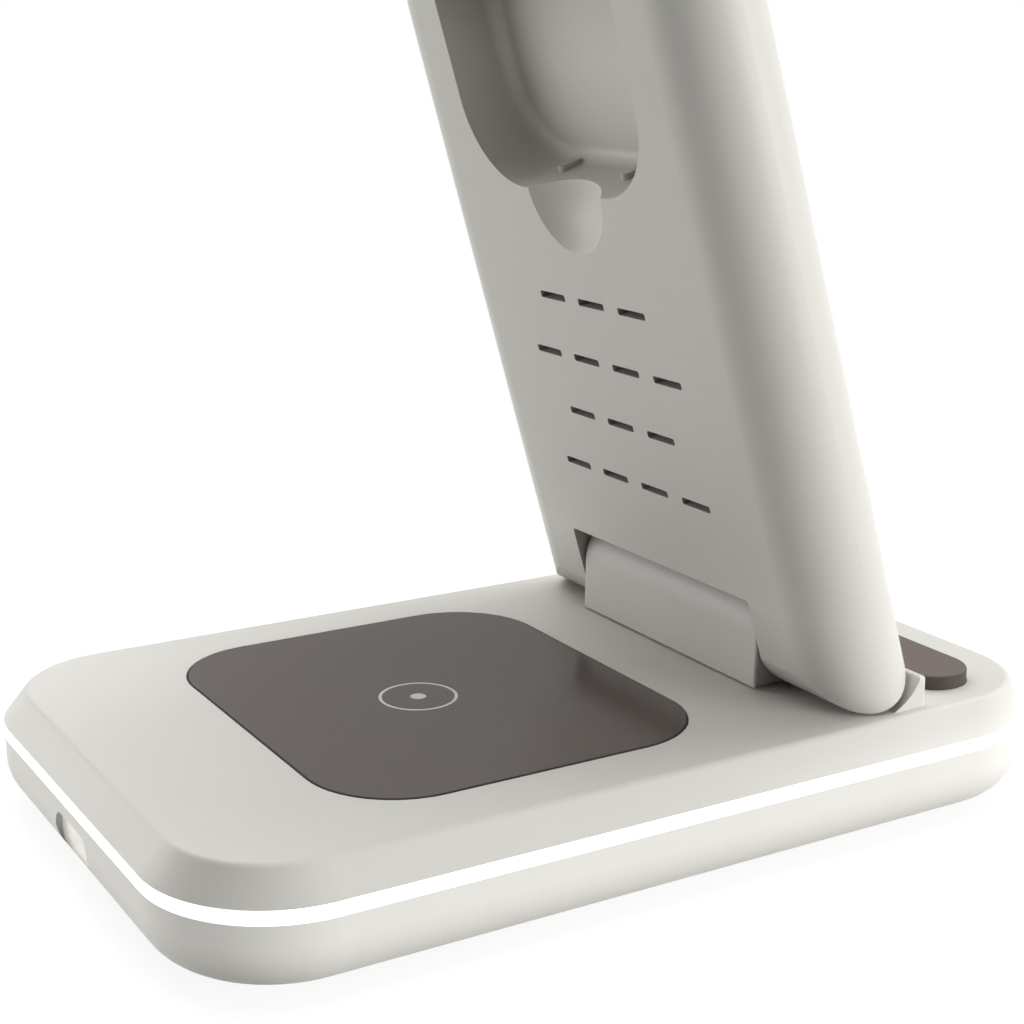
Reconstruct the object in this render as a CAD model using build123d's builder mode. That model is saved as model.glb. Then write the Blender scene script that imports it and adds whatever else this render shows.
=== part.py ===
# Folding three-in-one charging stand: a flat base with an earbud pad and a light ring,
# a leaning phone panel on a torque hinge, and a watch arm that folds into the panel's back.
# Millimetres. Origin on the floor at the middle of the base, +Y to the cable end, +Z up.
import os
from math import cos, radians, sin

from build123d import *

os.makedirs("parts", exist_ok=True)

# Base outline and heights
base_width = 86.0
base_length = 129.2
corner_r = 17.0
foot_projection = 0.5
belly_r = 6.4
ring_bottom = 10.15
ring_height = 1.85
top_z = 16.1
shoulder_inset = 3.2
front_inset = 0.7
shoulder_r = 1.2
wall = 2.0
floor_t = 1.8
roof_t = 2.1
roof_wall = 3.8
ring_depth = 3.0
strip_t = 0.6
ring_top = ring_bottom + ring_height
floor_z = foot_projection + floor_t
roof_z = top_z - roof_t

# Fits
seat_gap = 0.1
glide_gap = 0.3
pin_gap = 0.02
running_gap = 0.05
through_gap = 0.15
lap = 0.2

# Earbud pad and phone rest
pad_width = 63.0
pad_length = 54.0
pad_corner_r = 12.5
pad_inset = 51.0
pad_y = base_length / 2 - pad_inset
pad_edge_r = 0.3
pad_t = 1.3
pad_proud = 0.1
rest_length = 70.5
rest_width = 10.4
rest_inset = 14.9
rest_y = rest_inset - base_length / 2
rest_edge_r = 0.35
rest_height = 2.0
rest_sink = 0.8

# Panel hinge and panel
axis_inset = 31.7
axis_y = axis_inset - base_length / 2
axis_height = 7.8
axis_z = top_z + axis_height
lean = 16.61
panel_t = 14.8
panel_half = panel_t / 2
panel_width = 76.4
panel_taper = 4.2
panel_back_r = 8.2
panel_front_r = 6.4
panel_foot_r = 7.5
panel_foot = -12.0
panel_head_r = 15.0
recess_u = 64.0
head_rise = 39.0
panel_top = recess_u + head_rise
panel_skin = 2.2
block_half = 21.8
block_r = 7.3
block_foot = 7.45
block_front = -1.6
block_edge_r = 0.4
plinth_front = -0.4
plinth_inset = 0.5
seam = 0.35
notch_half = block_half + glide_gap
notch_u = 7.85
notch_r = 0.5
cradle_gap = 0.95
ridge_r = panel_foot_r + cradle_gap
ridge_front = 8.8
ridge_half = 38.3
ridge_height = 4.2
crest_r = 0.5
ridge_end_r = 0.7
pin_r = 2.5
pin_inner = 10.0
pin_outer = 32.0
pin_bore_r = 1.3
sleeve_r = 4.5
sleeve_length = 9.0
sleeve_inset = 0.4
sleeve_start = notch_half + sleeve_inset
bore_end = 0.6

# Watch recess, finger scoop and vents in the panel's back
recess_half = 21.8
recess_corner_r = 12.0
recess_depth = 9.4
recess_draft = 1.2
recess_floor_r = 2.2
recess_over = 1.0
rib_x = 7.8
rib_width = 1.6
rib_height = 0.35
rib_length = 3.6
rib_rise = 2.9
scoop_mouth_r = 9.1
scoop_depth = 3.8
scoop_rise = 0.4
scoop_u = recess_u + scoop_rise
scoop_r = (scoop_mouth_r**2 + scoop_depth**2) / (2 * scoop_depth)
scoop_lift = scoop_r - scoop_depth
vent_length = 6.4
vent_height = 1.05
vent_pitch = 9.87
vent_row = 9.08
vent_u = 47.9
vent_r = 0.3

# Front plate and the charging parts behind it
plate_half = 29.4
plate_low = 10.8
plate_inset = 8.4
plate_high = panel_top - plate_inset
plate_t = 2.0
plate_corner_r = 6.0
ledge = 2.0
bay_width = 2 * (plate_half - ledge)
deep_top = 51.0
coil_u = 56.0
coil_r = 22.0
coil_hole_r = 10.0
coil_t = 0.9
ferrite_r = 24.0
ferrite_t = 0.6

# Watch arm
arm_angle = 125.0
pivot_rise = 31.8
pivot_u = recess_u + pivot_rise
arm_r = 4.3
pivot_n = panel_half - arm_r
arm_gap = 0.35
arm_half = recess_half - arm_gap
arm_length = pivot_u - recess_u - recess_draft - rib_height - glide_gap
arm_corner_r = recess_corner_r - arm_gap
arm_edge_r = 0.5
arm_skip = 1.0
arm_waist = 1.6
arm_eye_r = 2.9
belly_edge_r = 2.0
barrel_step = 1.5
arm_pin_r = 1.5
arm_pin_inner = 15.0
arm_pin_outer = 27.0
puck_border = 1.3
puck_margin = 0.85
puck_r = arm_length / 2 - puck_margin
puck_t = 2.0
puck_sink = 0.2
puck_a = arm_length - puck_border - puck_r
puck_rim = 3.0
watch_coil_r = puck_r - puck_rim
watch_magnet_r = 4.0
magnet_gap = 0.5
watch_bay_gap = 0.6
watch_lap = 0.4
dish_r = 90.0
dish_depth = 0.7

# Screws, boards and socket
boss_inset_x = 9.5
boss_inset_y = 14.0
boss_x = base_width / 2 - boss_inset_x
boss_y = base_length / 2 - boss_inset_y
boss_r = 3.0
boss_wall = 1.0
boss_skin = 0.9
boss_root = foot_projection + boss_skin
boss_split = 4.0
boss_bore = 8.0
screw_r = 1.25
screw_length = 9.0
screw_head_r = 2.3
screw_head_t = 1.4
screw_pocket = 1.9
screw_seat = foot_projection + screw_pocket
drive_r = 1.0
drive_depth = 0.8
foot_r = 5.0
foot_t = 1.3
foot_inset_x = 12.0
foot_inset_y = 23.0
foot_x = base_width / 2 - foot_inset_x
foot_y = base_length / 2 - foot_inset_y
foot_edge_r = 0.3
board_t = 1.0
board_z = 2.7
board_margin = 34.0
board_width = base_width - board_margin
board_length = 34.0
board_inset = 23.4
board_y = base_length / 2 - board_inset
board_r = 2.0
post_inset_x = 8.0
post_inset_y = 10.0
post_x = board_width - post_inset_x
post_y = board_length - post_inset_y
post_r = 2.4
chip_size = 7.0
chip_t = 1.0
chip_x = 12.0
chip_back = 6.0
choke_size = 6.5
choke_t = 3.0
choke_r = 1.0
choke_x = 20.0
choke_out = 5.0
choke_back = 10.0
can_r = 2.5
can_height = 5.0
can_x = 11.0
can_out = 6.0
port_width = 12.4
port_height = 5.2
port_z = 5.8
port_depth = 6.2
port_r = 2.4
port_y = base_length / 2 - port_depth
tunnel_wall = 1.5
tunnel_inset = 1.6
tunnel_sink = 0.1
tunnel_slope = 0.9
tunnel_run = 1.8
tunnel_drop = 0.4
tunnel_end = base_length / 2 - tunnel_inset
tunnel_low = floor_z - tunnel_sink
tunnel_rise = floor_z + tunnel_slope
tunnel_flat = port_y + tunnel_run
tunnel_top = ring_bottom - tunnel_drop
socket_width = 8.94
socket_height = 3.26
socket_length = 7.4
socket_r = 1.6
socket_skin = 0.3
socket_back = 1.0
tongue_width = 6.7
tongue_t = 0.7
tongue_inset = 0.6
saddle_inset = 1.7
block_screw_x = 15.0
block_screw_y = 1.2
block_screw_grip = 4.2
block_screw_bore = 4.6
lead_r = 2.0
recess_skin = 1.6
card_u = 30.0
card_width = 48.0
card_length = 30.0
card_post_x = 42.0
card_post_y = 22.0
card_post = 3.0
card_post_r = 2.2
card_screw_r = 0.9
card_head_r = 1.7
card_head_t = 1.1
card_hole_end = 0.3
card_screw_end = 0.5
card_chip = 8.0
card_chip_t = 1.2
card_chip_x = 10.0
card_chip_low = 4.0
card_can_r = 2.0
card_can_height = 3.0
card_can_pitch = 12.0
card_can_low = 10.0
ballast_shift = 4.5
ballast_margin = 30.0
ballast_y = axis_y + ballast_shift
ballast_width = base_width - ballast_margin
ballast_length = 46.0
ballast_t = 3.0
ballast_r = 4.0

# Working planes: the panel lies in its own plane with the back face outward, and so does the arm
up = Vector(0, sin(radians(lean)), cos(radians(lean)))
back = Vector(0, cos(radians(lean)), -sin(radians(lean)))
hinge_point = Vector(0, axis_y, axis_z)
panel_plane = Plane(origin=hinge_point, x_dir=(-1, 0, 0), z_dir=back)
pivot_point = hinge_point + up * pivot_u + back * pivot_n
arm_up = back * cos(radians(arm_angle)) + up * sin(radians(arm_angle))
arm_plane = Plane(origin=pivot_point, x_dir=(1, 0, 0), z_dir=arm_up)
side_plane = Plane(origin=hinge_point, x_dir=(0, 1, 0), z_dir=(1, 0, 0))
panel_side = Plane(origin=hinge_point, x_dir=back, z_dir=(1, 0, 0))
sill_point = hinge_point + up * recess_u + back * (panel_half - recess_depth + rib_rise)
sill_plane = Plane(origin=sill_point, x_dir=(1, 0, 0), z_dir=up)
arm_side = Plane(origin=pivot_point, x_dir=arm_plane.y_dir, z_dir=(1, 0, 0))
pivot_side = Plane(origin=pivot_point, x_dir=(0, 1, 0), z_dir=(1, 0, 0))
end_plane = Plane(origin=(0, base_length / 2, port_z), x_dir=(-1, 0, 0), z_dir=(0, 1, 0))

# Bottom shell: a tray with a soft belly edge, a tunnel for the plug, screw posts and foot pockets
with BuildPart() as bottom_shell:
    with BuildSketch(Plane.XY.offset(foot_projection)):
        RectangleRounded(base_width, base_length, corner_r)
    extrude(amount=ring_bottom - foot_projection)
    fillet(bottom_shell.faces().sort_by(Axis.Z)[0].edges(), belly_r)
    with BuildSketch(Plane.XY.offset(floor_z)):
        RectangleRounded(base_width - 2 * wall, base_length - 2 * wall, corner_r - wall)
    extrude(amount=ring_bottom - floor_z, mode=Mode.SUBTRACT)
    level_faces = bottom_shell.faces().filter_by(Axis.Z)
    tray_floor = level_faces.filter_by_position(Axis.Z, floor_z - 0.01, floor_z + 0.01)
    fillet(tray_floor.edges(), belly_r - wall)
    with BuildSketch(Plane.XY.offset(boss_root)):
        with GridLocations(2 * boss_x, 2 * boss_y, 2, 2):
            Circle(boss_r + boss_wall)
    extrude(amount=boss_split - boss_root)
    with BuildSketch(Plane.XY.offset(foot_projection)):
        with GridLocations(2 * boss_x, 2 * boss_y, 2, 2):
            Circle(screw_head_r + 2 * seat_gap)
    extrude(amount=screw_pocket, mode=Mode.SUBTRACT)
    with BuildSketch(Plane.XY.offset(foot_projection)):
        with GridLocations(2 * boss_x, 2 * boss_y, 2, 2):
            Circle(screw_r + through_gap)
    extrude(amount=boss_split, mode=Mode.SUBTRACT)
    with BuildSketch(Plane.XY.offset(foot_projection)):
        with GridLocations(2 * foot_x, 2 * foot_y, 2, 2):
            Circle(foot_r + seat_gap)
    extrude(amount=foot_t - foot_projection, mode=Mode.SUBTRACT)
    with BuildSketch(Plane.YZ):
        with BuildLine():
            Polyline(
                (port_y, tunnel_low),
                (tunnel_flat, tunnel_low),
                (tunnel_end, tunnel_rise),
                (tunnel_end, tunnel_top),
                (port_y, tunnel_top),
                close=True,
            )
        make_face()
    extrude(amount=port_width / 2 + tunnel_wall, both=True)
    with BuildSketch(Plane.XY.offset(floor_z)):
        with Locations((0, board_y)):
            with GridLocations(post_x, post_y, 2, 2):
                Circle(post_r)
    extrude(amount=board_z - floor_z)
    with BuildSketch(end_plane):
        RectangleRounded(port_width, port_height, port_r)
    extrude(amount=-port_depth, mode=Mode.SUBTRACT)
bottom_shell.part.label = "bottom_shell"
export_step(bottom_shell.part, "parts/bottom_shell.step")

# Light ring: the glowing band between the two shells
with BuildPart() as light_ring:
    with BuildSketch(Plane.XY.offset(ring_bottom)):
        RectangleRounded(base_width, base_length, corner_r)
        offset(amount=-ring_depth, mode=Mode.SUBTRACT)
    extrude(amount=ring_height)
light_ring.part.label = "light_ring"
export_step(light_ring.part, "parts/light_ring.step")

# Light strip: the flexible board with its row of lamps, stuck inside the light ring
with BuildPart() as light_strip:
    with BuildSketch(Plane.XY.offset(ring_bottom)):
        RectangleRounded(base_width - 2 * ring_depth, base_length - 2 * ring_depth, corner_r - ring_depth)
        offset(amount=-strip_t, mode=Mode.SUBTRACT)
    extrude(amount=ring_height)
light_strip.part.label = "light_strip"
export_step(light_strip.part, "parts/light_strip.step")

# Cradle ridge: the lip on the top shell that wraps round the panel's foot
with BuildPart() as ridge:
    with BuildSketch(side_plane):
        with Locations((-ridge_front, -axis_height - lap)):
            Rectangle(ridge_front, ridge_height + lap, align=(Align.MIN, Align.MIN))
        Circle(ridge_r, mode=Mode.SUBTRACT)
    extrude(amount=ridge_half, both=True)
    corners = ridge.edges().filter_by(Axis.Z)
    fillet(corners, ridge_end_r)
    crest = ridge.faces().filter_by(Axis.Z).sort_by(Axis.Z)[-1]
    fillet(crest.edges(), crest_r)

# Top shell: the roof with its shoulder, the cradle ridge, the pad and rest pockets and the screw posts
with BuildPart() as top_shell:
    with BuildSketch(Plane.XY.offset(ring_top)):
        RectangleRounded(base_width, base_length, corner_r)
    with BuildSketch(Plane.XY.offset(top_z)):
        with Locations((0, (front_inset - shoulder_inset) / 2)):
            RectangleRounded(
                base_width - 2 * shoulder_inset,
                base_length - shoulder_inset - front_inset,
                corner_r - shoulder_inset,
            )
    loft(ruled=True)
    fillet(top_shell.faces().sort_by(Axis.Z)[-1].edges(), shoulder_r)
    with BuildSketch(Plane.XY.offset(ring_top)):
        RectangleRounded(base_width - 2 * roof_wall, base_length - 2 * roof_wall, corner_r - roof_wall)
    extrude(amount=roof_z - ring_top, mode=Mode.SUBTRACT)
    add(ridge.part)
    with BuildSketch(Plane.XY.offset(top_z)):
        with Locations((0, pad_y)):
            RectangleRounded(pad_width + 2 * seat_gap, pad_length + 2 * seat_gap, pad_corner_r + seat_gap)
    extrude(amount=pad_proud - pad_t, mode=Mode.SUBTRACT)
    with BuildSketch(Plane.XY.offset(top_z)):
        with Locations((0, rest_y)):
            SlotOverall(rest_length + 2 * seat_gap, rest_width + 2 * seat_gap)
    extrude(amount=-rest_sink, mode=Mode.SUBTRACT)
    with BuildSketch(Plane.XY.offset(boss_split)):
        with GridLocations(2 * boss_x, 2 * boss_y, 2, 2):
            Circle(boss_r)
    extrude(amount=roof_z - boss_split)
    with BuildSketch(Plane.XY.offset(boss_split)):
        with GridLocations(2 * boss_x, 2 * boss_y, 2, 2):
            Circle(screw_r + pin_gap)
    extrude(amount=boss_bore, mode=Mode.SUBTRACT)
    with BuildSketch(Plane.XY.offset(roof_z)):
        with Locations((0, axis_y + block_screw_y)):
            with GridLocations(2 * block_screw_x, 1.0, 2, 1):
                Circle(screw_r + through_gap)
    extrude(amount=roof_t, mode=Mode.SUBTRACT)
    with BuildSketch(Plane.XY.offset(roof_z)):
        with Locations((0, axis_y + block_screw_y)):
            Circle(lead_r)
    extrude(amount=roof_t, mode=Mode.SUBTRACT)
top_shell.part.label = "top_shell"
export_step(top_shell.part, "parts/top_shell.step")

# Earbud pad: a glossy inlay in its pocket
with BuildPart() as earbud_pad:
    with BuildSketch(Plane.XY.offset(top_z + pad_proud - pad_t)):
        with Locations((0, pad_y)):
            RectangleRounded(pad_width, pad_length, pad_corner_r)
    extrude(amount=pad_t)
    fillet(earbud_pad.faces().sort_by(Axis.Z)[-1].edges(), pad_edge_r)
earbud_pad.part.label = "earbud_pad"
export_step(earbud_pad.part, "parts/earbud_pad.step")

# Phone rest: a rubber strip that the phone's lower edge stands on
with BuildPart() as phone_rest:
    with BuildSketch(Plane.XY.offset(top_z - rest_sink)):
        with Locations((0, rest_y)):
            SlotOverall(rest_length, rest_width)
    extrude(amount=rest_sink + rest_height)
    fillet(phone_rest.faces().sort_by(Axis.Z)[-1].edges(), rest_edge_r)
phone_rest.part.label = "phone_rest"
export_step(phone_rest.part, "parts/phone_rest.step")

# Earbud coil and its ferrite under the pad
with BuildPart() as earbud_coil:
    with BuildSketch(Plane.XY.offset(roof_z)):
        with Locations((0, pad_y)):
            Circle(coil_r)
            Circle(coil_hole_r, mode=Mode.SUBTRACT)
    extrude(amount=-coil_t)
earbud_coil.part.label = "earbud_coil"
export_step(earbud_coil.part, "parts/earbud_coil.step")

with BuildPart() as earbud_ferrite:
    with BuildSketch(Plane.XY.offset(roof_z - coil_t)):
        with Locations((0, pad_y)):
            Circle(ferrite_r)
    extrude(amount=-ferrite_t)
earbud_ferrite.part.label = "earbud_ferrite"
export_step(earbud_ferrite.part, "parts/earbud_ferrite.step")

# Main board on its posts, with the chips and chokes it carries
with BuildPart() as main_board:
    with BuildSketch(Plane.XY.offset(board_z)):
        with Locations((0, board_y)):
            RectangleRounded(board_width, board_length, board_r)
    extrude(amount=board_t)
main_board.part.label = "main_board"
export_step(main_board.part, "parts/main_board.step")

with BuildPart() as board_chips:
    with BuildSketch(Plane.XY.offset(board_z + board_t)):
        with Locations((-chip_x, board_y - chip_back), (chip_x, board_y - chip_back)):
            Rectangle(chip_size, chip_size)
    extrude(amount=chip_t)
    with BuildSketch(Plane.XY.offset(board_z + board_t)):
        with Locations((0, board_y - choke_back)):
            RectangleRounded(choke_size, choke_size, choke_r)
        with Locations((-choke_x, board_y + choke_out), (choke_x, board_y + choke_out)):
            RectangleRounded(choke_size, choke_size, choke_r)
    extrude(amount=choke_t)
    with BuildSketch(Plane.XY.offset(board_z + board_t)):
        with Locations((-can_x, board_y + can_out), (can_x, board_y + can_out)):
            Circle(can_r)
    extrude(amount=can_height)
board_chips.part.label = "board_chips"
export_step(board_chips.part, "parts/board_chips.step")

# Charging socket: a rolled metal shell with its contact tongue, at the inner end of the plug tunnel
with BuildPart() as usb_socket:
    with BuildSketch(end_plane.offset(-port_depth)):
        RectangleRounded(socket_width, socket_height, socket_r)
    extrude(amount=-socket_length)
    with BuildSketch(end_plane.offset(-port_depth)):
        RectangleRounded(socket_width, socket_height, socket_r)
        offset(amount=-socket_skin, mode=Mode.REPLACE)
    extrude(amount=socket_back - socket_length, mode=Mode.SUBTRACT)
    with BuildSketch(end_plane.offset(-port_depth - tongue_inset)):
        Rectangle(tongue_width, tongue_t)
    extrude(amount=socket_back + tongue_inset - socket_length)
    with BuildSketch(Plane.XY.offset(board_z + board_t)):
        with Locations((0, port_y - socket_length / 2)):
            Rectangle(socket_width - 2 * saddle_inset, socket_length - socket_back)
    extrude(amount=port_z - socket_height / 2 - board_z - board_t + socket_skin / 2)
usb_socket.part.label = "usb_socket"
export_step(usb_socket.part, "parts/usb_socket.step")

# Ballast: a steel plate that keeps the stand steady
with BuildPart() as ballast:
    with BuildSketch(Plane.XY.offset(floor_z)):
        with Locations((0, ballast_y)):
            RectangleRounded(ballast_width, ballast_length, ballast_r)
    extrude(amount=ballast_t)
ballast.part.label = "ballast"
export_step(ballast.part, "parts/ballast.step")

# Four rubber feet in their pockets
with BuildPart() as feet:
    with BuildSketch(Plane.XY):
        with GridLocations(2 * foot_x, 2 * foot_y, 2, 2):
            Circle(foot_r)
    extrude(amount=foot_t)
    fillet(feet.faces().filter_by(Axis.Z).filter_by_position(Axis.Z, -0.01, 0.01).edges(), foot_edge_r)
feet.part.label = "feet"
export_step(feet.part, "parts/feet.step")

# Shell screws, driven up from below into the top shell's posts
with BuildPart() as shell_screws:
    with BuildSketch(Plane.XY.offset(screw_seat - screw_head_t)):
        with GridLocations(2 * boss_x, 2 * boss_y, 2, 2):
            Circle(screw_head_r)
    extrude(amount=screw_head_t)
    with BuildSketch(Plane.XY.offset(screw_seat)):
        with GridLocations(2 * boss_x, 2 * boss_y, 2, 2):
            Circle(screw_r)
    extrude(amount=screw_length)
    with BuildSketch(Plane.XY.offset(screw_seat - screw_head_t)):
        with GridLocations(2 * boss_x, 2 * boss_y, 2, 2):
            RegularPolygon(drive_r, 6)
    extrude(amount=drive_depth, mode=Mode.SUBTRACT)
shell_screws.part.label = "shell_screws"
export_step(shell_screws.part, "parts/shell_screws.step")

# Hinge block: the fixed knuckle, round over the hinge line, with a shadow seam at its foot
with BuildPart() as hinge_block:
    with BuildSketch(side_plane):
        Circle(block_r)
        with BuildLine():
            Polyline(
                (block_front, seam - axis_height),
                (block_foot, seam - axis_height),
                (block_r, 0),
                (block_front, 0),
                close=True,
            )
        make_face()
    extrude(amount=block_half, both=True)
    ends = hinge_block.faces().filter_by(Axis.X)
    fillet(ends.edges(), block_edge_r)
    with BuildSketch(side_plane):
        with BuildLine():
            Polyline(
                (plinth_front, -axis_height),
                (block_foot - plinth_inset, -axis_height),
                (block_foot - plinth_inset, block_front),
                (plinth_front, block_front),
                close=True,
            )
        make_face()
    extrude(amount=block_half - plinth_inset, both=True)
    with BuildSketch(side_plane):
        Circle(pin_r + pin_gap)
    extrude(amount=block_half, both=True, mode=Mode.SUBTRACT)
    with BuildSketch(Plane.XY.offset(top_z)):
        with Locations((0, axis_y + block_screw_y)):
            with GridLocations(2 * block_screw_x, 1.0, 2, 1):
                Circle(screw_r + pin_gap)
    extrude(amount=block_screw_bore, mode=Mode.SUBTRACT)
    with BuildSketch(Plane.XY.offset(top_z)):
        with Locations((0, axis_y + block_screw_y)):
            Circle(lead_r)
    extrude(amount=axis_height, mode=Mode.SUBTRACT)
hinge_block.part.label = "hinge_block"
export_step(hinge_block.part, "parts/hinge_block.step")

# Block screws, driven up through the roof into the hinge block
with BuildPart() as block_screws:
    with BuildSketch(Plane.XY.offset(roof_z - screw_head_t)):
        with Locations((0, axis_y + block_screw_y)):
            with GridLocations(2 * block_screw_x, 1.0, 2, 1):
                Circle(screw_head_r)
    extrude(amount=screw_head_t)
    with BuildSketch(Plane.XY.offset(roof_z)):
        with Locations((0, axis_y + block_screw_y)):
            with GridLocations(2 * block_screw_x, 1.0, 2, 1):
                Circle(screw_r)
    extrude(amount=roof_t + block_screw_grip)
block_screws.part.label = "block_screws"
export_step(block_screws.part, "parts/block_screws.step")

# Hinge pins: hollow steel shafts held in the block, so the leads can pass into the panel
with BuildPart() as hinge_pins:
    with BuildSketch(side_plane.offset(pin_inner), side_plane.offset(-pin_outer)):
        Circle(pin_r)
        Circle(pin_bore_r, mode=Mode.SUBTRACT)
    extrude(amount=pin_outer - pin_inner)
hinge_pins.part.label = "hinge_pins"
export_step(hinge_pins.part, "parts/hinge_pins.step")

# Torque sleeves: split steel clips in the panel's legs that grip the hinge pins
with BuildPart() as hinge_sleeves:
    with BuildSketch(side_plane.offset(sleeve_start), side_plane.offset(-sleeve_start - sleeve_length)):
        Circle(sleeve_r)
        Circle(pin_r + running_gap, mode=Mode.SUBTRACT)
    extrude(amount=sleeve_length)
hinge_sleeves.part.label = "hinge_sleeves"
export_step(hinge_sleeves.part, "parts/hinge_sleeves.step")

# Watch bay: the hollow that the watch arm folds into, its lower wall sloping out to the mouth
bay_mouth = recess_u - recess_over * recess_draft / recess_depth
with BuildPart() as watch_bay:
    with BuildSketch(panel_plane.offset(panel_half - recess_depth)) as bay_floor:
        with Locations((0, recess_u + recess_draft)):
            Rectangle(2 * recess_half, panel_top, align=(Align.CENTER, Align.MIN))
        fillet(bay_floor.vertices().sort_by(Axis.Y)[:2], recess_corner_r)
    with BuildSketch(panel_plane.offset(panel_half + recess_over)) as bay_top:
        with Locations((0, bay_mouth)):
            Rectangle(2 * recess_half, panel_top, align=(Align.CENTER, Align.MIN))
        fillet(bay_top.vertices().sort_by(Axis.Y)[:2], recess_corner_r)
    loft(ruled=True)
    bay_rim = watch_bay.faces().sort_by(Axis(hinge_point, back))[0].edges()
    fillet(bay_rim.filter_by(lambda e: (e.center() - hinge_point).dot(up) < panel_top), recess_floor_r)

# Panel housing: a bullnose body rounded about the hinge, with the hinge notch, vents, watch bay,
# finger scoop and the inner bay for the coil and the board
with BuildPart() as panel_housing:
    with BuildSketch(panel_plane.offset(-panel_half)) as panel_outline:
        with BuildLine():
            Polyline(
                (-panel_width / 2, panel_foot),
                (panel_width / 2, panel_foot),
                ((panel_width - panel_taper) / 2, panel_top),
                ((panel_taper - panel_width) / 2, panel_top),
                close=True,
            )
        make_face()
        fillet(panel_outline.vertices().sort_by(Axis.Y)[-2:], panel_head_r)
    extrude(amount=panel_t)
    rims = panel_housing.faces().sort_by(Axis(hinge_point, back))
    above_foot = lambda e: (e.center() - hinge_point).dot(up) > panel_foot + 1.0
    fillet(rims[-1].edges().filter_by(above_foot), panel_back_r)
    fillet(rims[0].edges().filter_by(above_foot), panel_front_r)
    with BuildSketch(panel_side):
        Circle(panel_foot_r)
        Rectangle(panel_t, panel_top + 1.0, align=(Align.CENTER, Align.MIN))
    extrude(amount=panel_width, both=True, mode=Mode.INTERSECT)
    with BuildSketch(panel_plane.offset(-panel_half)) as notch:
        with Locations((0, notch_u)):
            Rectangle(2 * notch_half, notch_u - panel_foot, align=(Align.CENTER, Align.MAX))
        fillet(notch.vertices().sort_by(Axis.Y)[-2:], notch_r)
    extrude(amount=panel_t, mode=Mode.SUBTRACT)
    with BuildSketch(side_plane):
        Circle(sleeve_r + pin_gap)
    extrude(amount=pin_outer + bore_end, both=True, mode=Mode.SUBTRACT)
    add(watch_bay.part, mode=Mode.SUBTRACT)
    with BuildSketch(sill_plane):
        with Locations((-rib_x, 0), (rib_x, 0)):
            SlotOverall(rib_length, rib_width, rotation=90)
    extrude(amount=recess_draft + rib_height)
    with Locations(panel_plane.offset(panel_half + scoop_lift)):
        with Locations((0, scoop_u, 0)):
            Sphere(scoop_r, mode=Mode.SUBTRACT)
    with BuildSketch(panel_plane.offset(panel_half)):
        with Locations((0, vent_u), (0, vent_u - 2 * vent_row)):
            with GridLocations(vent_pitch, 1.0, 3, 1):
                RectangleRounded(vent_length, vent_height, vent_r)
        with Locations((0, vent_u - vent_row), (0, vent_u - 3 * vent_row)):
            with GridLocations(vent_pitch, 1.0, 4, 1):
                RectangleRounded(vent_length, vent_height, vent_r)
    extrude(amount=-panel_skin - lap, mode=Mode.SUBTRACT)
    with BuildSketch(panel_plane.offset(-panel_half)):
        with Locations((0, (plate_low + plate_high) / 2)):
            RectangleRounded(2 * plate_half, plate_high - plate_low, plate_corner_r)
        offset(amount=seat_gap)
    extrude(amount=plate_t, mode=Mode.SUBTRACT)
    with BuildSketch(panel_plane.offset(-panel_half)):
        with Locations((0, plate_low + ledge)):
            Rectangle(bay_width, deep_top - plate_low - ledge, align=(Align.CENTER, Align.MIN))
    extrude(amount=panel_t - panel_skin, mode=Mode.SUBTRACT)
    with BuildSketch(panel_plane.offset(-panel_half)):
        with Locations((0, deep_top - lap)):
            Rectangle(bay_width, plate_high - ledge - deep_top + lap, align=(Align.CENTER, Align.MIN))
    extrude(amount=panel_t - recess_depth - recess_skin, mode=Mode.SUBTRACT)
    with BuildSketch(panel_plane.offset(panel_half - panel_skin + lap)):
        with Locations((0, card_u)):
            with GridLocations(card_post_x, card_post_y, 2, 2):
                Circle(card_post_r)
    extrude(amount=-card_post - lap)
    with BuildSketch(panel_plane.offset(panel_half - panel_skin - card_post)):
        with Locations((0, card_u)):
            with GridLocations(card_post_x, card_post_y, 2, 2):
                Circle(card_screw_r + pin_gap)
    extrude(amount=card_post - card_hole_end, mode=Mode.SUBTRACT)
    with BuildSketch(pivot_side):
        Circle(arm_pin_r + pin_gap)
    extrude(amount=arm_pin_outer + glide_gap, both=True, mode=Mode.SUBTRACT)
panel_housing.part.label = "panel_housing"
export_step(panel_housing.part, "parts/panel_housing.step")

# Front plate: the glossy face that the phone leans on, set flush in the housing
with BuildPart() as front_plate:
    with BuildSketch(panel_plane.offset(-panel_half)):
        with Locations((0, (plate_low + plate_high) / 2)):
            RectangleRounded(2 * plate_half, plate_high - plate_low, plate_corner_r)
    extrude(amount=plate_t)
front_plate.part.label = "front_plate"
export_step(front_plate.part, "parts/front_plate.step")

# Phone coil and its ferrite, stuck behind the front plate
with BuildPart() as phone_coil:
    with BuildSketch(panel_plane.offset(plate_t - panel_half)):
        with Locations((0, coil_u)):
            Circle(coil_r)
            Circle(coil_hole_r, mode=Mode.SUBTRACT)
    extrude(amount=coil_t)
phone_coil.part.label = "phone_coil"
export_step(phone_coil.part, "parts/phone_coil.step")

with BuildPart() as phone_ferrite:
    with BuildSketch(panel_plane.offset(plate_t - panel_half + coil_t)):
        with Locations((0, coil_u)):
            Circle(ferrite_r)
    extrude(amount=ferrite_t)
phone_ferrite.part.label = "phone_ferrite"
export_step(phone_ferrite.part, "parts/phone_ferrite.step")

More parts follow.
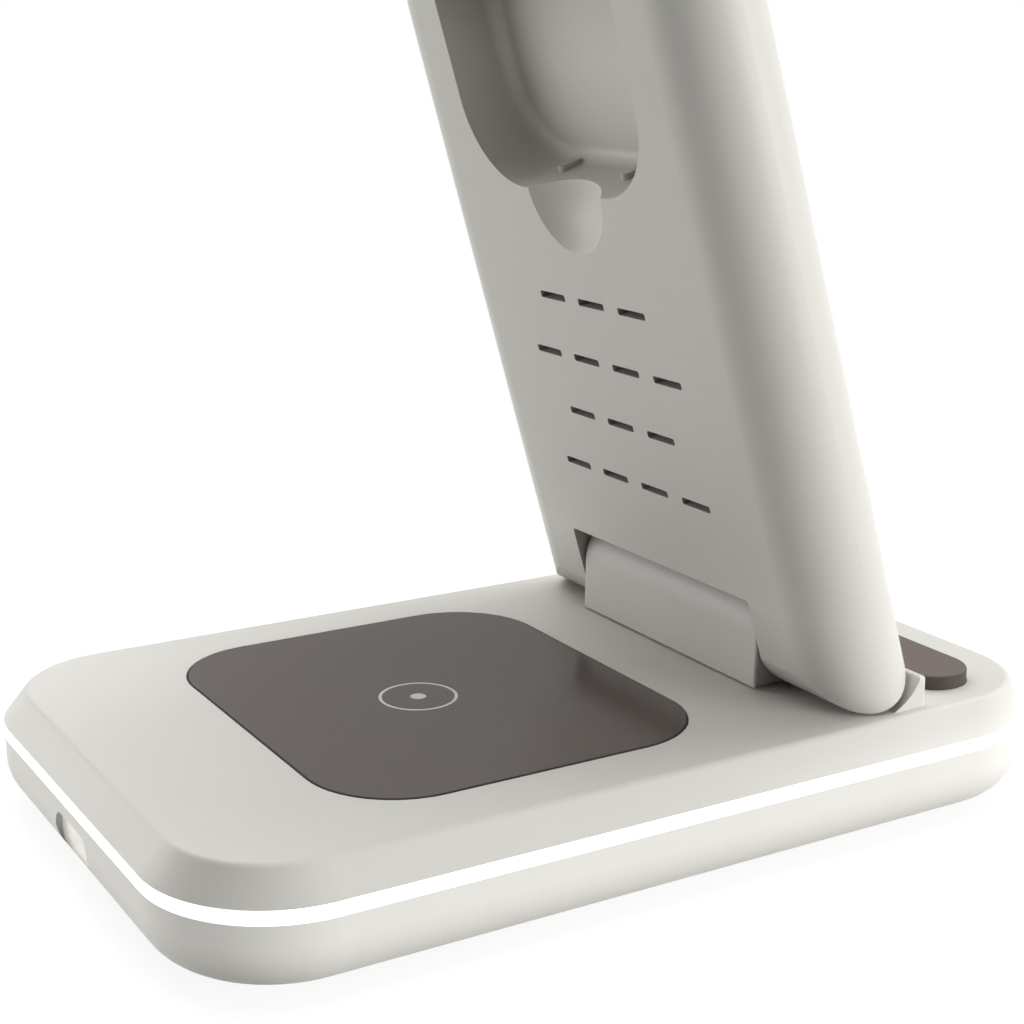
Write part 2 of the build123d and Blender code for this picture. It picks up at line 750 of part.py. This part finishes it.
# Panel board behind the vents, with its chips and screws
with BuildPart() as panel_board:
    with BuildSketch(panel_plane.offset(panel_half - panel_skin - card_post)):
        with Locations((0, card_u)):
            RectangleRounded(card_width, card_length, board_r)
            with GridLocations(card_post_x, card_post_y, 2, 2):
                Circle(card_screw_r + seat_gap, mode=Mode.SUBTRACT)
    extrude(amount=-board_t)
panel_board.part.label = "panel_board"
export_step(panel_board.part, "parts/panel_board.step")

with BuildPart() as panel_chips:
    with BuildSketch(panel_plane.offset(panel_half - panel_skin - card_post - board_t)):
        with Locations((-card_chip_x, card_u - card_chip_low), (card_chip_x, card_u - card_chip_low)):
            Rectangle(card_chip, card_chip)
    extrude(amount=-card_chip_t)
    with BuildSketch(panel_plane.offset(panel_half - panel_skin - card_post - board_t)):
        with Locations((0, card_u - card_can_low)):
            with GridLocations(card_can_pitch, 1.0, 3, 1):
                Circle(card_can_r)
    extrude(amount=-card_can_height)
panel_chips.part.label = "panel_chips"
export_step(panel_chips.part, "parts/panel_chips.step")

with BuildPart() as panel_screws:
    with BuildSketch(panel_plane.offset(panel_half - panel_skin - card_post - board_t)):
        with Locations((0, card_u)):
            with GridLocations(card_post_x, card_post_y, 2, 2):
                Circle(card_head_r)
    extrude(amount=-card_head_t)
    with BuildSketch(panel_plane.offset(panel_half - panel_skin - card_post - board_t)):
        with Locations((0, card_u)):
            with GridLocations(card_post_x, card_post_y, 2, 2):
                Circle(card_screw_r)
    extrude(amount=board_t + card_post - card_screw_end)
panel_screws.part.label = "panel_screws"
export_step(panel_screws.part, "parts/panel_screws.step")

# Watch arm: a short wide flap with a round barrel at its pivot and a waist that clears the base's end
with BuildPart() as arm_shell:
    with BuildSketch(arm_side):
        Circle(arm_eye_r)
        with BuildLine():
            Polyline(
                (0, arm_r),
                (arm_length, arm_r),
                (arm_length, -arm_r),
                (0, -arm_waist),
                close=True,
            )
        make_face()
    extrude(amount=arm_half, both=True)
    with BuildSketch(arm_plane.offset(-arm_r)) as arm_plan:
        with Locations((0, arm_length)):
            Rectangle(2 * arm_half, arm_length + arm_r, align=(Align.CENTER, Align.MAX))
        fillet(arm_plan.vertices().sort_by(Axis.Y)[-2:], arm_corner_r)
    extrude(amount=2 * arm_r, mode=Mode.INTERSECT)
    arm_faces = arm_shell.faces().filter_by(lambda f: f.is_planar).sort_by(Axis(pivot_point, arm_up))
    outer_rim = arm_faces[-1].edges()
    inner_rim = arm_faces[0].edges()
    past_pivot = lambda e: (e.center() - pivot_point).dot(arm_plane.y_dir) > arm_skip
    fillet(outer_rim.filter_by(past_pivot), arm_edge_r)
    fillet(inner_rim.filter_by(past_pivot), belly_edge_r)
    with BuildSketch(arm_side):
        Circle(arm_r)
    extrude(amount=arm_half - barrel_step, both=True)
    with BuildSketch(arm_plane.offset(arm_r)):
        with Locations((0, puck_a)):
            Circle(puck_r + seat_gap)
    extrude(amount=-puck_sink - puck_t, mode=Mode.SUBTRACT)
    with BuildSketch(arm_plane.offset(arm_r - puck_sink - puck_t)):
        with Locations((0, puck_a)):
            Circle(watch_coil_r + watch_bay_gap)
    extrude(amount=-coil_t - ferrite_t, mode=Mode.SUBTRACT)
    with BuildSketch(pivot_side):
        Circle(arm_pin_r + running_gap)
    extrude(amount=arm_half, both=True, mode=Mode.SUBTRACT)
arm_shell.part.label = "arm_shell"
export_step(arm_shell.part, "parts/arm_shell.step")

# Watch puck: the slightly dished disc that the watch sits on
with BuildPart() as watch_puck:
    with BuildSketch(arm_plane.offset(arm_r - puck_sink - puck_t)):
        with Locations((0, puck_a)):
            Circle(puck_r)
    extrude(amount=puck_t)
    with Locations(arm_plane.offset(arm_r - puck_sink + dish_r - dish_depth)):
        with Locations((0, puck_a, 0)):
            Sphere(dish_r, mode=Mode.SUBTRACT)
watch_puck.part.label = "watch_puck"
export_step(watch_puck.part, "parts/watch_puck.step")

# Watch coil, its ferrite and the centring magnet under the puck
with BuildPart() as watch_coil:
    with BuildSketch(arm_plane.offset(arm_r - puck_sink - puck_t)):
        with Locations((0, puck_a)):
            Circle(watch_coil_r)
            Circle(watch_magnet_r + magnet_gap, mode=Mode.SUBTRACT)
    extrude(amount=-coil_t)
watch_coil.part.label = "watch_coil"
export_step(watch_coil.part, "parts/watch_coil.step")

with BuildPart() as watch_magnet:
    with BuildSketch(arm_plane.offset(arm_r - puck_sink - puck_t)):
        with Locations((0, puck_a)):
            Circle(watch_magnet_r)
    extrude(amount=-coil_t)
watch_magnet.part.label = "watch_magnet"
export_step(watch_magnet.part, "parts/watch_magnet.step")

with BuildPart() as watch_ferrite:
    with BuildSketch(arm_plane.offset(arm_r - puck_sink - puck_t - coil_t)):
        with Locations((0, puck_a)):
            Circle(watch_coil_r + watch_lap)
    extrude(amount=-ferrite_t)
watch_ferrite.part.label = "watch_ferrite"
export_step(watch_ferrite.part, "parts/watch_ferrite.step")

# Arm pins: steel pins held in the panel's two ears
with BuildPart() as arm_pins:
    with BuildSketch(pivot_side.offset(arm_pin_inner), pivot_side.offset(-arm_pin_outer)):
        Circle(arm_pin_r)
    extrude(amount=arm_pin_outer - arm_pin_inner)
arm_pins.part.label = "arm_pins"
export_step(arm_pins.part, "parts/arm_pins.step")
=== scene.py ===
import math

import bpy
from mathutils import Matrix, Vector


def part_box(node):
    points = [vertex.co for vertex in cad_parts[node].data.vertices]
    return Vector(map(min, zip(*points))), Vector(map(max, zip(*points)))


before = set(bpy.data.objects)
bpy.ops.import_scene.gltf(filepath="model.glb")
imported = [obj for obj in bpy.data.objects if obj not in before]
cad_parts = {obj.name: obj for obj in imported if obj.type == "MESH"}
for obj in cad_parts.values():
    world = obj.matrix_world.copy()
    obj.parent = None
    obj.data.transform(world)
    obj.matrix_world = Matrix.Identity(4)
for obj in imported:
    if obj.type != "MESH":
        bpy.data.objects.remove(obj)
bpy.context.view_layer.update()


# Base shells and hinge block: warm white plastic, moulded with a fine spark-eroded grain.
# The bottom tray carries the works, the top shell is screwed down on it, and the block
# that holds the hinge is fixed to the roof from below.
class Field:
    """A socket of a finish's node tree. Sums on it add Math nodes."""

    def __init__(self, tree, socket=None):
        self.tree = tree
        self.socket = socket

    @staticmethod
    def pick(sockets, key):
        if isinstance(key, int):
            return sockets[key]
        return next(s for s in sockets if key in (s.identifier, s.name))

    def node(self, kind, inputs=None, out=0, **settings):
        made = self.tree.nodes.new(kind)
        for name, value in settings.items():
            setattr(made, name, value)
        for key, value in (inputs or {}).items():
            socket = self.pick(made.inputs, key)
            if isinstance(value, Field):
                self.tree.links.new(value.socket, socket)
            else:
                socket.default_value = value
        return Field(self.tree, self.pick(made.outputs, out))

    def math(self, operation, a, b=0.0):
        return self.node("ShaderNodeMath", {0: a, 1: b}, operation=operation)

    def __add__(self, other):
        return self.math("ADD", self, other)

    __radd__ = __add__

    def __sub__(self, other):
        return self.math("SUBTRACT", self, other)

    def __rsub__(self, other):
        return self.math("SUBTRACT", other, self)

    def __mul__(self, other):
        return self.math("MULTIPLY", self, other)

    __rmul__ = __mul__

    def __lt__(self, other):
        return self.math("LESS_THAN", self, other)

    def __gt__(self, other):
        return self.math("GREATER_THAN", self, other)

    def __abs__(self):
        return self.math("ABSOLUTE", self)

    def place(self):
        return self.node("ShaderNodeTexCoord", out="Object")

    def parts(self):
        split = self.node("ShaderNodeSeparateXYZ", {"Vector": self})
        return [Field(self.tree, s) for s in split.socket.node.outputs]

    def normal_z(self):
        return self.node("ShaderNodeNewGeometry", out="True Normal").parts()[2]

    def noise(self, scale, detail=2.0, stretch=None):
        where = self.place()
        if stretch:
            where = self.node("ShaderNodeMapping", {"Vector": where, "Scale": stretch})
        return self.node("ShaderNodeTexNoise",
                         {"Vector": where, "Scale": scale, "Detail": detail}, out="Fac")

    def blend(self, amount, first, second):
        return self.node("ShaderNodeMix",
                         {"Factor_Float": amount, "A_Color": first, "B_Color": second},
                         out="Result_Color", data_type="RGBA")

    def fade(self, value, low, high, start=1.0):
        return self.node("ShaderNodeMapRange",
                         {"Value": value, "From Min": low, "From Max": high,
                          "To Min": start, "To Max": 0.0},
                         interpolation_type="SMOOTHSTEP", clamp=True)

    def reach(self, u, v):
        return self.math("SQRT", u * u + v * v)

    def bump(self, height, strength, distance):
        return self.node("ShaderNodeBump",
                         {"Height": height, "Strength": strength, "Distance": distance})


def finish(name, **constants):
    made = bpy.data.materials.new(name)
    made.use_nodes = True
    shader = made.node_tree.nodes["Principled BSDF"]
    for key, value in constants.items():
        shader.inputs[key.replace("_", " ")].default_value = value
    return made, Field(made.node_tree), shader


def feed(field, shader, **links):
    for key, value in links.items():
        field.tree.links.new(value.socket, shader.inputs[key.replace("_", " ")])


def dress(material, *names):
    for name in names:
        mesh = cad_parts[name].data
        mesh.materials.clear()
        mesh.materials.append(material)


CLOUD_SCALE = 38.0
SPARK_SCALE = 2600.0
SPARK_DEPTH = 0.00006
HOLLOW_SHADE = 0.42


def moulded(name, light, dark, roughness, grain, painted_shade=None, painted_glow=None):
    made, field, shader = finish(name, Specular_IOR_Level=0.36,
                                 Emission_Strength=1.0 if painted_glow else 0.0)
    clouds = field.noise(CLOUD_SCALE, 3.0)
    spark = field.noise(SPARK_SCALE)
    skin = field.blend(clouds, dark, light)
    # Painted shade: where the shade mask falls towards 0, the colour darkens to HOLLOW_SHADE of the
    # dark tone.
    if painted_shade:
        skin = field.blend(painted_shade(field), [c * HOLLOW_SHADE for c in dark[:3]] + [1], skin)
    feed(field, shader, Base_Color=skin, Roughness=roughness + 0.10 * (clouds - 0.5),
         Normal=field.bump(spark, grain, SPARK_DEPTH))
    # Painted light: an emission in the finish itself.
    if painted_glow:
        feed(field, shader, Emission_Color=painted_glow(field))
    return made


# Painted shade: an ambient occlusion term darkens the plastic's colour in vents, the recess and
# other hollow places.
HOLLOW_REACH = 0.013


def open_to_light(field):
    return field.node("ShaderNodeAmbientOcclusion", {"Distance": HOLLOW_REACH}, out="AO", samples=8)


# The plug's opening: its middle height, the half sizes that take in its walls, where its tunnel
# ends inside, and the strip of painted shade just behind its mouth.
PORT_Z = 0.0058
PORT_HALF_X, PORT_HALF_Z = 0.0063, 0.00265
TUNNEL_HALF_X, TUNNEL_HALF_Z = 0.0064, 0.0027
TUNNEL_END_Y = 0.050
RIM_FROM_Y, RIM_TO_Y = 0.0637, 0.06455
# Painted light, a glow in the shells' own finish for the ring's light on them: the middle of the
# spill, how far it goes, the ring's upper edge, and the stretch towards the phone end over which it
# also climbs the shoulder.
SPILL_Z = 0.0090
SPILL_FROM, SPILL_TO, SPILL_GLOW = 0.0010, 0.0065, 0.125
RING_TOP_Z = SPILL_Z + 0.0014
PHONE_END_Y, PHONE_FADE_Y, PHONE_GLOW = -0.060, 0.020, 1.3
# Painted light in the port's tunnel: how deep it glows fully, where the glow has faded at the
# mouth, and its strength.
DEEP_Y, DEEP_FADE_Y, DEEP_GLOW = 0.0626, 0.0638, 0.42
BLACK = (0, 0, 0, 1)
RING_LIGHT = (1.0, 0.995, 0.97, 1)


# Painted shade: a dark strip just inside the port's mouth, standing in for the shade on its walls.
def port_rim_shade(field):
    x, y, z = field.place().parts()
    across = (abs(x) < PORT_HALF_X) * (abs(z - PORT_Z) < PORT_HALF_Z)
    return 1 - across * (y > RIM_FROM_Y) * (y < RIM_TO_Y)


def ring_painted_glow(field):
    x, y, z = field.place().parts()
    spill = field.fade(abs(z - SPILL_Z), SPILL_FROM, SPILL_TO, SPILL_GLOW)
    # Painted light: the port's tunnel glows inside, as if lit by the ring.
    deep = field.fade(y, DEEP_Y, DEEP_FADE_Y, DEEP_GLOW)
    across = (abs(x) < TUNNEL_HALF_X) * (abs(z - PORT_Z) < TUNNEL_HALF_Z)
    tunnel = across * (y > TUNNEL_END_Y)
    # Painted light: towards the phone end the glow also climbs the shoulder above the ring, so that
    # end reads brighter.
    phone_end = field.fade(y, PHONE_END_Y, PHONE_FADE_Y, PHONE_GLOW)
    share = field.math("MAXIMUM", z < RING_TOP_Z, phone_end)
    return field.blend(spill * share + deep * tunnel, BLACK, RING_LIGHT)


WARM_LIGHT = (0.74, 0.725, 0.68, 1)
WARM_DARK = (0.70, 0.685, 0.64, 1)
WARM_SKIN = (WARM_LIGHT, WARM_DARK, 0.46, 0.22)
# The panel housing, hinge block and arm shell get this finish, with painted shade where they are
# hollow.
white_plastic = moulded("warm_white_plastic", *WARM_SKIN, open_to_light)
# A copy of the plastic for the shells, with painted light beside the ring and in the port, and
# painted shade at the port's mouth.
glow_painted_plastic = moulded("warm_white_with_painted_glow", *WARM_SKIN, port_rim_shade, ring_painted_glow)
dress(glow_painted_plastic, "bottom_shell", "top_shell")
dress(white_plastic, "hinge_block")


# Light ring: a milky acrylic band clamped between the shells, with the lamp strip stuck to
# its inner face. It glows evenly, so the lamps themselves are not seen.
LAMPS_PER_M = 120.0
LAMP_SHARE = 0.35
ring_glow, field, shader = finish("milky_light_guide", Roughness=0.35, Emission_Strength=1.15)
milk = field.noise(60.0)
feed(field, shader,
     Base_Color=field.blend(milk, (0.92, 0.92, 0.92, 1), (0.97, 0.97, 0.97, 1)),
     Emission_Color=field.blend(milk, (0.98, 0.98, 0.97, 1), (1, 1, 1, 1)))
dress(ring_glow, "light_ring")

lamp_strip, field, shader = finish("lamp_strip", Roughness=0.5)
x, y, z = field.place().parts()
pitch = field.math("FRACT", (x + y) * LAMPS_PER_M)
feed(field, shader,
     Base_Color=field.blend(pitch < LAMP_SHARE, (0.85, 0.85, 0.82, 1), (0.95, 0.80, 0.30, 1)))
dress(lamp_strip, "light_strip")


# Earbud pad: a glossy taupe inlay with a thin printed ring and dot that mark the charging spot.
# It is glued in a shallow pocket of the top shell, and its edge is painted near black as the shade
# of the seam.
TAUPE_DARK = (0.098, 0.078, 0.070, 1)
TAUPE_LIGHT = (0.108, 0.087, 0.079, 1)
PAD_EDGE_SHADE = (0.010, 0.008, 0.007, 1)
PAD_PRINT = (0.62, 0.60, 0.58, 1)
PRINT_ROUGH = 0.2
EDGE_ROUGH = 0.6
FLAT_NORMAL = 0.985
MARK = Vector((-0.0005, 0.0156))
MARK_RING_R, MARK_HALF_LINE, MARK_DOT_R = 0.0052, 0.00022, 0.0011


def taupe_gloss(name):
    made, field, shader = finish(name, Specular_IOR_Level=0.4)
    taupe = field.blend(field.noise(900.0), TAUPE_DARK, TAUPE_LIGHT)
    polish = 0.16 + 0.05 * field.noise(45.0)
    return made, field, shader, taupe, polish


pad_gloss, field, shader, taupe, polish = taupe_gloss("taupe_gloss")
x, y, z = field.place().parts()
reach = field.reach(x - MARK.x, y - MARK.y)
printed = field.math("MAXIMUM", abs(reach - MARK_RING_R) < MARK_HALF_LINE, reach < MARK_DOT_R)
# Painted shade: the pad's sloping and side faces are coloured near black, for the shade in the
# seam.
edge = field.normal_z() < FLAT_NORMAL
feed(field, shader,
     Base_Color=field.blend(edge, field.blend(printed, taupe, PAD_PRINT), PAD_EDGE_SHADE),
     Roughness=polish + PRINT_ROUGH * printed + EDGE_ROUGH * edge)
dress(pad_gloss, "earbud_pad")


# Phone rest and feet: taupe silicone rubber, matte, with a dusty uneven surface.
# The rest is pressed into a slot in front of the cradle, the feet into round pockets.
RUBBER_DARK = (0.128, 0.104, 0.095, 1)
RUBBER_LIGHT = (0.150, 0.124, 0.114, 1)
RUBBER_SIDE_SHADE = (0.072, 0.059, 0.054, 1)
UPRIGHT_NORMAL = 0.6
rubber, field, shader = finish("taupe_silicone", Specular_IOR_Level=0.3)
dust = field.noise(70.0, 4.0)
# Painted shade: the rubber's steep side faces are coloured darker than its tops, as they fall in
# shade.
upright = abs(field.normal_z()) < UPRIGHT_NORMAL
dusty = field.blend(dust, RUBBER_DARK, RUBBER_LIGHT)
feed(field, shader, Base_Color=field.blend(upright, dusty, RUBBER_SIDE_SHADE),
     Roughness=0.62 + 0.12 * dust, Normal=field.bump(field.noise(1800.0), 0.3, 0.00008))
dress(rubber, "phone_rest", "feet")


# Boards: green fibreglass with copper tracks under the lacquer, in the base and in the panel.
# Their chips, chokes and cans are black mouldings soldered on top.
TRACK_SCALE = 420.0
TRACK_WIDTH = 0.07
board_green, field, shader = finish("green_board", Coat_Weight=0.3)
cells = field.node("ShaderNodeTexVoronoi", {"Vector": field.place(), "Scale": TRACK_SCALE},
                   out="Distance", feature="DISTANCE_TO_EDGE", distance="MANHATTAN")
tracks = cells < TRACK_WIDTH
feed(field, shader,
     Base_Color=field.blend(tracks, (0.012, 0.085, 0.035, 1), (0.03, 0.16, 0.06, 1)),
     Roughness=0.35 + 0.1 * tracks)
dress(board_green, "main_board", "panel_board")
chip_black = moulded("black_chip", (0.022, 0.022, 0.024, 1), (0.015, 0.015, 0.016, 1), 0.5, 0.3)
dress(chip_black, "board_chips", "panel_chips")


# Coils and ferrites: flat spirals of copper wire stuck on dark sintered sheets, behind each
# charging face. The phone's and the watch's coils lean with the panel and the arm.
WIRE_WAVES = 7000.0
COPPER_DARK = (0.32, 0.12, 0.05, 1)
COPPER_LIGHT = (0.62, 0.27, 0.13, 1)
PANEL_LEAN = math.radians(16.61)
ARM_RISE = math.radians(18.39)
side = Vector((1, 0, 0))
base_along = Vector((0, 1, 0))
panel_up = Vector((0, math.sin(PANEL_LEAN), math.cos(PANEL_LEAN)))
arm_out = Vector((0, math.cos(ARM_RISE), math.sin(ARM_RISE)))


def in_plane(field, centre, across, along):
    offset = field.node("ShaderNodeVectorMath", {0: field.place(), 1: centre},
                        operation="SUBTRACT", out="Vector")
    return [field.node("ShaderNodeVectorMath", {0: offset, 1: axis},
                       operation="DOT_PRODUCT", out="Value") for axis in (across, along)]


def winding(name, centre, across, along):
    made, field, shader = finish(name, Metallic=1.0)
    turns = field.math("SINE", field.reach(*in_plane(field, centre, across, along)) * WIRE_WAVES)
    feed(field, shader, Base_Color=field.blend(turns * 0.5 + 0.5, COPPER_DARK, COPPER_LIGHT),
         Roughness=0.3 + 0.1 * turns, Normal=field.bump(turns, 0.5, 0.0002))
    return made


def middle(name):
    low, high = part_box(name)
    return (Vector(low) + Vector(high)) / 2


for use, along in (("earbud", base_along), ("phone", panel_up), ("watch", arm_out)):
    coil = f"{use}_coil"
    dress(winding(f"{use}_winding", middle(coil), side, along), coil)
sintered = moulded("sintered_sheet", (0.035, 0.034, 0.034, 1), (0.022, 0.022, 0.023, 1), 0.6, 0.4)
dress(sintered, "earbud_ferrite", "phone_ferrite", "watch_ferrite")


# Steel pieces: the ballast plate, screws, hinge pins, torque sleeves, arm pins, the centring
# magnet and the rolled shell of the socket. Drawn or turned steel with fine lines.
steel, field, shader = finish("drawn_steel", Metallic=1.0)
lines = field.noise(500.0, 3.0, stretch=(0.05, 1.0, 1.0))
feed(field, shader,
     Base_Color=field.blend(lines, (0.42, 0.42, 0.43, 1), (0.60, 0.60, 0.61, 1)),
     Roughness=0.24 + 0.18 * lines, Normal=field.bump(lines, 0.1, 0.00005))
dress(steel, "ballast", "shell_screws", "block_screws", "hinge_pins", "hinge_sleeves",
      "panel_screws", "arm_pins", "watch_magnet", "usb_socket")


# Panel: a deep bullnose housing of the same warm white plastic, with a glossy taupe plate let
# into the face that the phone leans on. A thin printed ring on the plate marks the coil behind it.
PLATE_PRINT = (0.40, 0.38, 0.36, 1)
PLATE_RING_R, PLATE_HALF_LINE = 0.0235, 0.0003
dress(white_plastic, "panel_housing")
plate_gloss, field, shader, taupe, polish = taupe_gloss("taupe_plate")
reach = field.reach(*in_plane(field, middle("phone_coil"), side, panel_up))
printed = abs(reach - PLATE_RING_R) < PLATE_HALF_LINE
feed(field, shader, Base_Color=field.blend(printed, taupe, PLATE_PRINT),
     Roughness=polish + PRINT_ROUGH * printed)
dress(plate_gloss, "front_plate")


# Watch arm: a short flap of the same plastic that swings on two steel pins in the recess's walls.
# A glossy white dished puck is set in its face, over the watch's coil.
dress(white_plastic, "arm_shell")
puck_white, field, shader = finish("puck_gloss", Coat_Weight=0.4, Coat_Roughness=0.05)
bloom = field.noise(50.0)
feed(field, shader,
     Base_Color=field.blend(bloom, (0.66, 0.655, 0.64, 1), (0.70, 0.695, 0.68, 1)),
     Roughness=0.18 + 0.06 * bloom)
dress(puck_white, "watch_puck")


# Floor: a wide pale sheet. Seen directly or in a gloss it is white with a faint shadow, and
# to every other ray it is pale paper near the stand and dark grey farther out, so it throws light
# back up near the stand.
FLOOR_SIZE = 12.0
PAPER_FAR = (0.20, 0.20, 0.20, 1)
PAPER_NEAR = (0.62, 0.62, 0.61, 1)
SHADOW_TONE = (0.20, 0.20, 0.20, 1)
SHADOW_GLOW = 0.88
WHITE = (1, 1, 1, 1)


def bare(made):
    made.use_nodes = True
    made.node_tree.nodes.clear()
    return Field(made.node_tree)


def cover(field, kind, shader):
    end = field.tree.nodes.new(kind)
    field.tree.links.new(shader.socket, end.inputs["Surface"])


def seen(field):
    rays = field.node("ShaderNodeLightPath").socket.node
    camera, glossy, through = (Field(field.tree, rays.outputs[n]) for n in
                               ("Is Camera Ray", "Is Glossy Ray", "Is Transmission Ray"))
    return field.math("MAXIMUM", field.math("MAXIMUM", camera, glossy), through)


def near(field, inner, outer):
    x, y, z = field.place().parts()
    return field.fade(field.reach(x, y), inner, outer)


bpy.ops.mesh.primitive_plane_add(size=FLOOR_SIZE, location=(0, 0, 0))
floor = bpy.context.object
floor.name = "floor"
paper = bpy.data.materials.new("floor_paper")
field = bare(paper)
tone = field.blend(near(field, 0.10, 0.30), PAPER_FAR, PAPER_NEAR)
pale = field.node("ShaderNodeBsdfDiffuse", {"Color": tone})
faint = field.node("ShaderNodeBsdfDiffuse", {"Color": SHADOW_TONE})
glow = field.node("ShaderNodeEmission", {"Color": WHITE, "Strength": SHADOW_GLOW})
white = field.node("ShaderNodeEmission", {"Color": WHITE, "Strength": 1.0})
shaded = field.node("ShaderNodeAddShader", {0: faint, 1: glow})
bright = field.node("ShaderNodeMixShader", {0: near(field, 0.09, 0.20), 1: white, 2: shaded})
sheet = field.node("ShaderNodeMixShader", {0: seen(field), 1: pale, 2: bright})
cover(field, "ShaderNodeOutputMaterial", sheet)
floor.data.materials.append(paper)


# Backdrop: a pale cloth hung behind the stand, brighter towards its top. It stands outside the
# picture, and only its light and its shine on the glossy pad are seen.
CLOTH_STEP_Z = 0.53
CLOTH_LOW = (0.45, 0.45, 0.45, 1)
CLOTH_HIGH = (0.60, 0.60, 0.60, 1)
bpy.ops.mesh.primitive_plane_add(size=1.0, location=(1.20, -0.71, 0.62))
backdrop = bpy.context.object
backdrop.name = "backdrop"
backdrop.scale = (2.8, 1.2, 1.0)
backdrop.rotation_euler = Vector((-0.86, 0.51, 0.0)).to_track_quat("Z", "Y").to_euler()
backdrop.visible_camera = False
cloth = bpy.data.materials.new("backdrop_cloth")
field = bare(cloth)
height = field.node("ShaderNodeNewGeometry", out="Position").parts()[2]
shade = field.blend(height > CLOTH_STEP_Z, CLOTH_LOW, CLOTH_HIGH)
lit = field.node("ShaderNodeEmission", {"Color": shade, "Strength": 1.0})
cover(field, "ShaderNodeOutputMaterial", lit)
backdrop.data.materials.append(cloth)


# Studio: a white room that gives little light of its own, with a low lamp off the cable end, a low
# lamp off the camera's side of the phone end, a soft box overhead, one on the far side and a
# weaker one in front of the phone side.
ROOM_LIGHT = 0.04
world = bpy.data.worlds.new("studio")
bpy.context.scene.world = world
field = bare(world)
dim = field.node("ShaderNodeBackground", {"Color": WHITE, "Strength": ROOM_LIGHT})
white = field.node("ShaderNodeBackground", {"Color": WHITE, "Strength": 1.0})
sky = field.node("ShaderNodeMixShader", {0: seen(field), 1: dim, 2: white})
cover(field, "ShaderNodeOutputWorld", sky)


def lamp(name, at, target_z, width, height, power):
    data = bpy.data.lights.new(name, "AREA")
    data.shape = "RECTANGLE"
    data.size = width
    data.size_y = height
    data.energy = power
    made = bpy.data.objects.new(name, data)
    bpy.context.scene.collection.objects.link(made)
    made.location = at
    aim = Vector((0, 0, target_z)) - Vector(at)
    made.rotation_euler = aim.to_track_quat("-Z", "Y").to_euler()


lamp("left", (0.60, 0.72, 0.13), target_z=0.06, width=1.0, height=0.22, power=3.7)
lamp("right", (-0.79, -0.52, 0.16), target_z=0.03, width=0.5, height=0.28, power=7.2)
lamp("above", (0.15, -0.15, 1.22), target_z=0.02, width=0.9, height=0.9, power=8.0)
lamp("far", (0.95, 0.10, 0.75), target_z=0.02, width=0.8, height=0.8, power=5.2)
lamp("phone", (0.10, -0.90, 0.70), target_z=0.02, width=0.6, height=0.5, power=2.9)


# Camera: placed from the photograph's own perspective, looking down at the cable end and one long
# side. Its focal length was found in the photograph's pixels.
EYE_AT = Vector((-0.213912, 0.126223, 0.105555))
FOCAL_PX, PHOTO_PX = 1867.133, 1024.0
SENSOR_MM = 36.0
yaw, pitch, roll = math.radians(-30.46), math.radians(14.787), math.radians(-0.06)
ahead = Vector((math.cos(yaw) * math.cos(pitch), math.sin(yaw) * math.cos(pitch), -math.sin(pitch)))
level = ahead.cross(Vector((0, 0, 1))).normalized()
upward = level.cross(ahead)
right = level * math.cos(roll) + upward * math.sin(roll)
above = upward * math.cos(roll) - level * math.sin(roll)
eye = bpy.data.cameras.new("eye")
eye.sensor_fit = "HORIZONTAL"
eye.sensor_width = SENSOR_MM
eye.lens = SENSOR_MM * FOCAL_PX / PHOTO_PX
eye.clip_start = 0.01
camera = bpy.data.objects.new("camera", eye)
bpy.context.scene.collection.objects.link(camera)
turn = Matrix((right, above, -ahead)).transposed().to_4x4()
camera.matrix_world = Matrix.Translation(EYE_AT) @ turn
bpy.context.scene.camera = camera
bpy.context.scene.view_settings.view_transform = "Standard"
